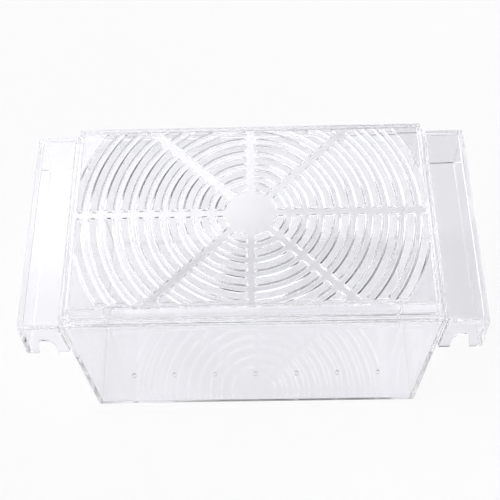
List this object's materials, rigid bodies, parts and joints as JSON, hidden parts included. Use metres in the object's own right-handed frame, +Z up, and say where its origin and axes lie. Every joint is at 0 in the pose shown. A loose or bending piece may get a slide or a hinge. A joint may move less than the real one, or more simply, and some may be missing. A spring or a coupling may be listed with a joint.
{
  "type": "queen cage",
  "caption": "Clear moulded box with a hollow wing on each end to hang by, and a lift-off lid with a grille of slotted rings.",
  "frame": {"origin": "centre of the tub's underside, on the surface that the box stands on", "axes": "+Z up out of the tub, +X along the length towards the right wing, -Y towards the side whose wing walls are notched"},
  "size_m": [0.2378, 0.1168, 0.125],
  "materials": {
    "clear_plastic": "clear, polished, injection moulded"
  },
  "bodies": {
    "tub": {"tub": "clear_plastic", "right_wing": "clear_plastic", "left_wing": "clear_plastic"},
    "lid": {"lid": "clear_plastic"}
  },
  "joints": [
    {"name": "lid_lift", "type": "slide", "parent": "tub", "child": "lid", "axis": [0, 0, 1], "range_m": [0, 0.06]}
  ]
}
